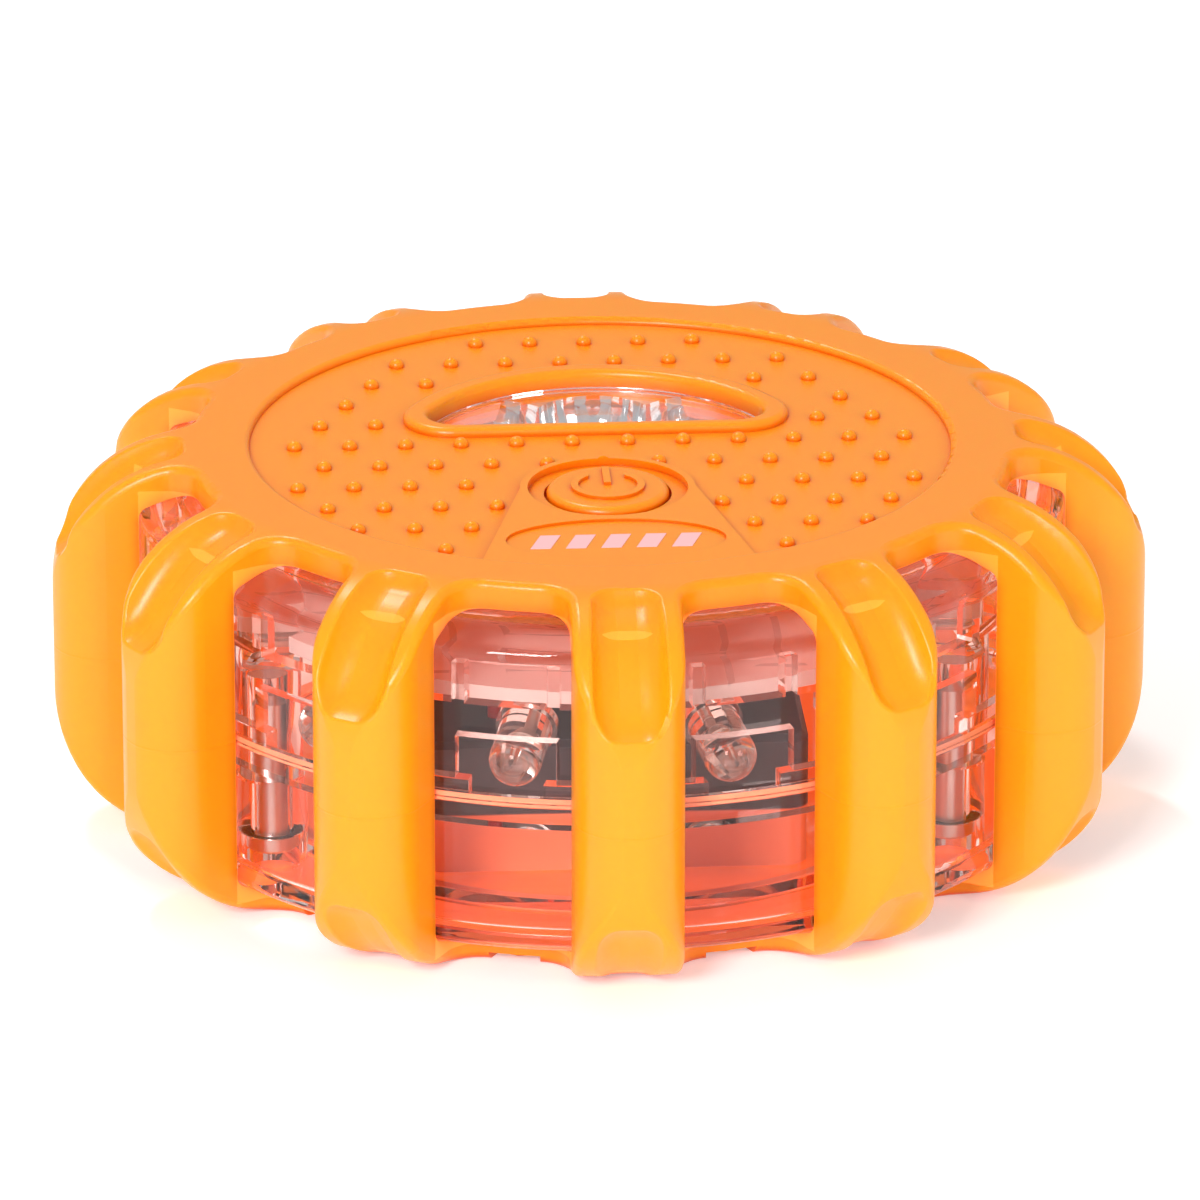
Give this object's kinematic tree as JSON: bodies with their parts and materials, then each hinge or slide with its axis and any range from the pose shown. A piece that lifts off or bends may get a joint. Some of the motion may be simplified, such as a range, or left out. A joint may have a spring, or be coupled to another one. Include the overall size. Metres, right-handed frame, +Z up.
{
  "type": "road flare",
  "caption": "Round LED road flare puck: ribbed rubber jacket over a clear housing, torch window, power button, magnets, fold-out hook and screwed battery door.",
  "frame": {"origin": "centre of the flat rest face under the jacket's lower ring", "axes": "+Z up through the top skin, -Y towards the power button, +Y towards the torch window"},
  "size_m": [0.105, 0.105, 0.0382],
  "materials": {
    "orange_rubber": "satin moulded rubber",
    "clear_plastic": "clear polished polycarbonate",
    "clear_lens": "clear polished acrylic",
    "seal_silicone": "translucent silicone",
    "chrome_cups": "vacuum-metallised",
    "led_epoxy": "clear epoxy",
    "steel": "zinc plated",
    "board_white": "white solder resist",
    "chip_black": "moulded epoxy",
    "tray_black": "black ABS",
    "cell_wrap": "printed sleeve",
    "door_orange": "fine textured ABS",
    "hook_plastic": "moulded nylon",
    "nickel": "nickel plated",
    "wire_red": "PVC insulation",
    "wire_black": "PVC insulation"
  },
  "bodies": {
    "housing": {"amber_led_01": "led_epoxy", "amber_led_02": "led_epoxy", "amber_led_03": "led_epoxy", "amber_led_04": "led_epoxy", "amber_led_05": "led_epoxy", "amber_led_06": "led_epoxy", "amber_led_07": "led_epoxy", "amber_led_08": "led_epoxy", "amber_led_09": "led_epoxy", "amber_led_10": "led_epoxy", "amber_led_11": "led_epoxy", "amber_led_12": "led_epoxy", "amber_led_leads": "nickel", "battery_1": "cell_wrap", "battery_2": "cell_wrap", "battery_3": "cell_wrap", "battery_tray": "tray_black", "board_screws": "steel", "contact_plate_1": "nickel", "contact_plate_2": "nickel", "contact_plate_3": "nickel", "contact_spring_1": "nickel", "contact_spring_2": "nickel", "contact_spring_3": "nickel", "control_chip": "chip_black", "lower_shell": "clear_plastic", "main_board": "board_white", "resistors": "chip_black", "rubber_jacket": "orange_rubber", "shell_screws": "steel", "shell_seal": "seal_silicone", "supply_wire_negative": "wire_black", "supply_wire_positive": "wire_red", "switch_body": "chip_black", "torch_lens": "clear_lens", "torch_reflector": "chrome_cups", "upper_shell": "clear_plastic", "white_led_1": "led_epoxy", "white_led_2": "led_epoxy", "white_led_3": "led_epoxy"},
    "button": {"power_button": "orange_rubber"},
    "plunger": {"switch_plunger": "tray_black"},
    "door": {"battery_door": "door_orange", "door_gasket": "tray_black", "door_screws": "steel", "magnet_1": "nickel", "magnet_2": "nickel", "hook_pin": "steel"},
    "hook": {"hook": "hook_plastic"}
  },
  "joints": [
    {"name": "button_press", "type": "slide", "parent": "housing", "child": "button", "axis": [0, 0, -1], "range_m": [0, 0.0008], "stiffness_N_per_m": 900, "springref_m": -0.0012},
    {"name": "plunger_travel", "type": "slide", "parent": "housing", "child": "plunger", "axis": [0, 0, -1], "range_m": [0, 0.0008]},
    {"name": "door_lift_off", "type": "slide", "parent": "housing", "child": "door", "axis": [0, 0, -1], "range_m": [0, 0.015]},
    {"name": "hook_fold", "type": "hinge", "parent": "door", "child": "hook", "pos_m": [0, 0.0195, 0.0023], "axis": [1, 0, 0], "range_deg": [0, 120]}
  ],
  "couplings": [
    {"joint": "plunger_travel", "follows": "button_press", "ratio": 1}
  ]
}
